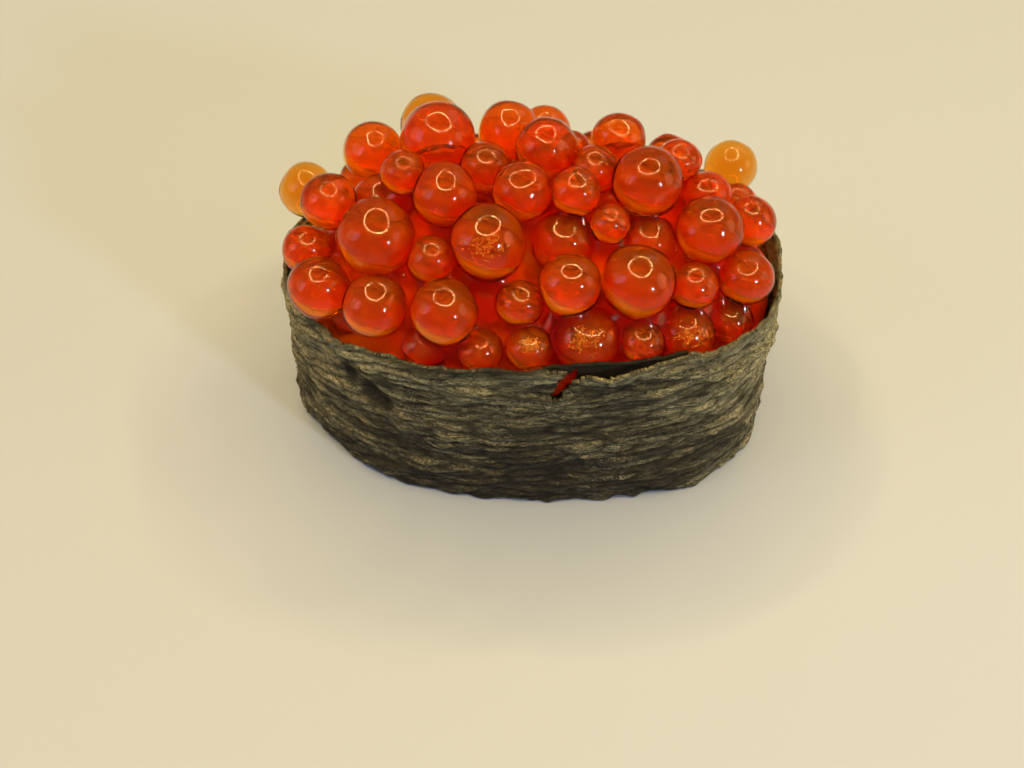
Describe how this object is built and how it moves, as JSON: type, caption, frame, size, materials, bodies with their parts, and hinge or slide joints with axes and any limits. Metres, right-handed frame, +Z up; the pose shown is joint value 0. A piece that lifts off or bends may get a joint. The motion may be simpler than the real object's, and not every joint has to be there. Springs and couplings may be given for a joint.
{
  "type": "salmon roe sushi",
  "caption": "Salmon roe heaped on pressed rice inside an upright band of dried seaweed, standing on its flat underside.",
  "frame": {"origin": "on the ground under the middle of the piece", "axes": "+X along the long way of the band, -Y towards the side with the tear in the rim, +Z up"},
  "size_m": [0.0479, 0.0309, 0.032],
  "materials": {
    "seaweed": "dried pressed seaweed, olive black, crinkled, softly glossy",
    "rice": "cooked white rice, moist and slightly translucent",
    "roe": "wet clear orange-red gel balls"
  },
  "bodies": {
    "root": {"nori": "seaweed", "rice": "rice", "roe": "roe"}
  },
  "joints": []
}
